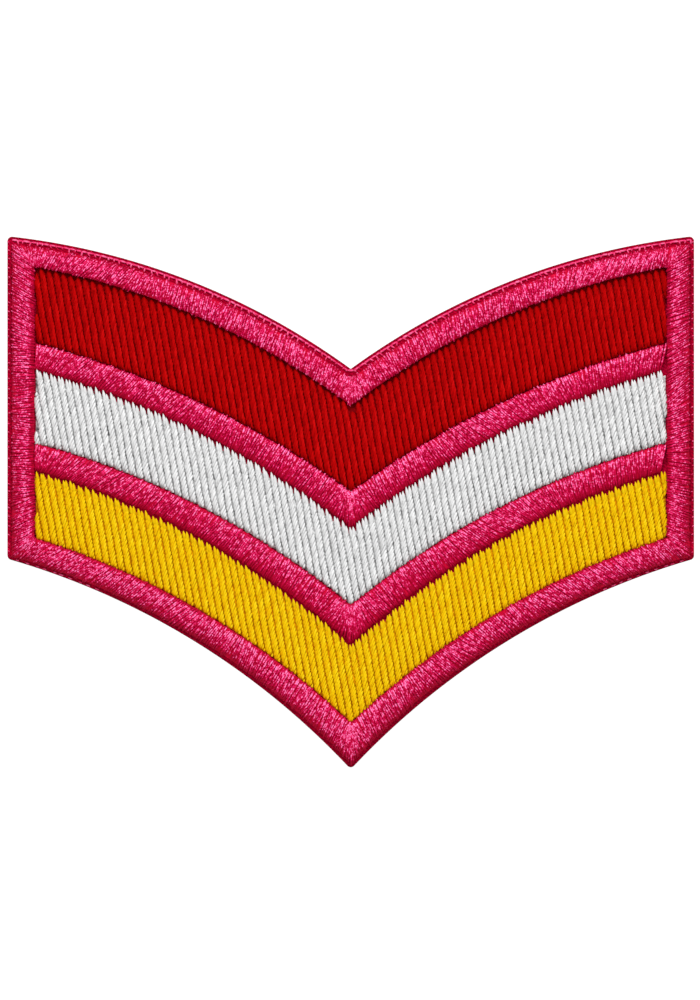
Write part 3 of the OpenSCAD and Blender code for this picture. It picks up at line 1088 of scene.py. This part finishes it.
def short_stitches(piece, start, end, half_w, rng, band):
    """Straight stitches on the lip, raised a little between their two holes."""
    t = np.linspace(0, 1, 7)
    rise = np.sin(np.pi * t) ** 0.5
    flat = start[:, None] + (end - start)[:, None] * t[None, :, None]
    centres = at_height(flat, CLOTH_TOP - SINK + (half_w + 0.03) * rise)
    widths = half_w * (0.7 + 0.3 * rise) * rng.uniform(0.85, 1.15, (len(start), 1))
    add_threads(piece, centres, UPRIGHT, widths, widths * 0.9, 0.0, band, rng, sides=6)


# Edge stitches: distance of line, beads and dashes in from the cut edge, spacing of
# their needle holes, and half widths of line, ticks, beads and dashes
LINE_IN, BEADS_IN, DASHES_IN = 0.43, 0.3, 0.2
LINE_STEP, BEAD_STEP, DASH_STEP = 0.85, 1.1, 1.2
LINE_HALF, TICK_HALF, BEAD_HALF, DASH_HALF = 0.14, 0.12, 0.08, 0.1
# The dashes start this far out from the middle.
DASH_START = 33.0


class PATCH_OT_edge_stitches(bpy.types.Operator):
    """Runs a light stitch along the lip: a line with small ticks at the top edge,
    short beads at the sides, and dashes near the ends of the lower edge."""

    bl_idname = "patch.edge_stitches"
    bl_label = "Edge Stitches"

    def execute(self, context):
        rng = np.random.default_rng(41)
        piece = Piece()

        x = np.linspace(LINE_IN - HALF_W, HALF_W - LINE_IN, 2 * WING_POINTS)
        holes = needle_holes(line(x, edge_y(CUT_TOP, x, -LINE_IN)), LINE_STEP, rng)
        ahead = unit(np.diff(holes, axis=0))
        ends = rng.uniform(-0.02, 0.14, (2, len(ahead), 1))
        start, end = holes[:-1] + ahead * ends[0], holes[1:] - ahead * ends[1]
        short_stitches(piece, start, end, LINE_HALF, rng, (0.0, 0.3))
        inward = np.stack([ahead[:, 1], -ahead[:, 0]], axis=-1)
        # Close to the notch the ticks are short.
        room = np.clip(np.abs(holes[1:, :1]) / 1.6, 0.15, 1)
        tick = inward * room * rng.uniform(0.15, 0.7, (len(ahead), 1))
        tick += ahead * rng.normal(0.1, 0.15, (len(ahead), 1))
        short_stitches(piece, holes[1:] - inward * 0.05, holes[1:] + tick, TICK_HALF, rng, (0.3, 0.6))

        y = np.linspace(edge_y(CUT_TOP, HALF_W, -0.8), edge_y(CUT_LOW, HALF_W, 0.8), WING_POINTS)
        for side, low_v in ((1, 0.6), (-1, 0.7)):
            path = line(np.full_like(y, side * (HALF_W - BEADS_IN)), y)
            holes = needle_holes(path, BEAD_STEP, rng)
            holes[:, 0] += rng.uniform(-0.08, 0.08, len(holes))
            reach = rng.uniform(0.12, 0.26, (len(holes), 1)) * [side, 0.5]
            short_stitches(piece, holes, holes + reach, BEAD_HALF, rng, (low_v, low_v + 0.1))

        x = np.linspace(DASH_START, HALF_W - 0.5, WING_POINTS)
        for side, low_v in ((1, 0.8), (-1, 0.9)):
            holes = needle_holes(line(x, edge_y(CUT_LOW, x, DASHES_IN)), DASH_STEP, rng) * [side, 1]
            ahead = unit(np.diff(holes, axis=0))
            end = holes[:-1] + ahead * rng.uniform(0.35, 0.6, (len(ahead), 1))
            short_stitches(piece, holes[:-1], end, DASH_HALF, rng, (low_v, low_v + 0.1))
        stops = ((0.1, "#D81850"), (0.5, "#F03C78"), (0.9, "#FF80B0"))
        look = dict(shine=0.4, roughness=0.4, turn_mm=1.0, streak_mm=0.6, ply_mm=0.03, start=0.0)
        # The flank weight paints shade down the flanks of the stitches.
        mix = dict(plies=0.3, fibres=0.6, tone=0.25, flank=-0.6)
        coat = thread_coat("polyester_edge_thread", stops, "#FF90B8", mix=mix, **look)
        piece.build("edge_stitches", [coat], [], "pink_satin")
        return {"FINISHED"}


# Stage


FLOOR_REACH, FLOOR_Z = 0.6, -0.0001
KEY_SIZE, KEY_WATTS, KEY_PLACE = (0.25, 0.15), 4.4, (0.0, 0.6, 0.57)
ROOM_LIGHT = 0.8
# The camera stands 1 m up, and its lens takes in the patch with a margin.
LENS_MM, CAMERA_PLACE = 274.4, (-0.0001, 0.00026, 1.0)


class PATCH_OT_stage(bpy.types.Operator):
    """Sets up the plain floor, the soft light and the camera."""

    bl_idname = "patch.stage"
    bl_label = "Stage"

    def execute(self, context):
        scene = context.scene

        def place(name, data, location):
            thing = bpy.data.objects.new(name, data)
            thing.location = location
            scene.collection.objects.link(thing)
            return thing

        mesh = bpy.data.meshes.new("floor")
        signs = ((-1, -1), (1, -1), (1, 1), (-1, 1))
        mesh.from_pydata([(FLOOR_REACH * i, FLOOR_REACH * j, FLOOR_Z) for i, j in signs], [], [range(4)])
        floor = place("floor", mesh, (0, 0, 0))
        floor.visible_diffuse = floor.visible_glossy = False
        # Painted board gives the even pale ground of a plain studio table.
        material, node = new_material("matt_white_board")
        finish_material(
            node,
            Base_Color=(0.25, 0.25, 0.25, 1.0),
            Roughness=0.9,
            Emission_Color=(1.0, 1.0, 1.0, 1.0),
            Emission_Strength=0.93,
        )
        mesh.materials.append(material)

        lamp = bpy.data.lights.new("key", "AREA")
        lamp.shape = "RECTANGLE"
        lamp.size, lamp.size_y = KEY_SIZE
        lamp.energy = KEY_WATTS
        key = place("key", lamp, KEY_PLACE)
        key.rotation_euler = (-key.location).to_track_quat("-Z", "Y").to_euler()

        world = bpy.data.worlds.new("soft_room")
        world.use_nodes = True
        background = world.node_tree.nodes["Background"].inputs
        background["Color"].default_value = (1.0, 1.0, 1.0, 1.0)
        background["Strength"].default_value = ROOM_LIGHT
        world.cycles_visibility.glossy = False
        scene.world = world

        camera = bpy.data.cameras.new("camera")
        camera.sensor_width = 36.0
        camera.lens = LENS_MM
        camera.clip_start, camera.clip_end = 0.05, 5.0
        scene.camera = place("camera", camera, CAMERA_PLACE)
        scene.view_settings.view_transform = "Standard"
        return {"FINISHED"}


class PATCH_PT_panel(bpy.types.Panel):
    """Lists the steps in the order in which the patch is made."""

    bl_idname = "PATCH_PT_panel"
    bl_label = "Rank Stripe Patch"
    bl_space_type = "VIEW_3D"
    bl_region_type = "UI"
    bl_category = "Patch"

    def draw(self, context):
        layout = self.layout
        for group in (context.scene.patch_sizes, context.scene.patch_colours):
            for name in group.__annotations__:
                layout.prop(group, name)
        for step in STEPS:
            layout.operator(step.bl_idname)


STEPS = (
    PATCH_OT_base_cloth,
    PATCH_OT_edge_stitches,
    PATCH_OT_border,
    PATCH_OT_ridges,
    PATCH_OT_stripes,
    PATCH_OT_stage,
)
CLASSES = (PatchSizes, PatchColours, *STEPS, PATCH_PT_panel)


def register():
    for item in CLASSES:
        bpy.utils.register_class(item)
    bpy.types.Scene.patch_sizes = bpy.props.PointerProperty(type=PatchSizes)
    bpy.types.Scene.patch_colours = bpy.props.PointerProperty(type=PatchColours)


def unregister():
    del bpy.types.Scene.patch_sizes
    del bpy.types.Scene.patch_colours
    for item in reversed(CLASSES):
        bpy.utils.unregister_class(item)


def main():
    register()
    bpy.ops.patch.base_cloth()
    bpy.ops.patch.edge_stitches()
    bpy.ops.patch.border()
    bpy.ops.patch.ridges()
    bpy.ops.patch.stripes()
    bpy.ops.patch.stage()


if __name__ == "__main__":
    main()
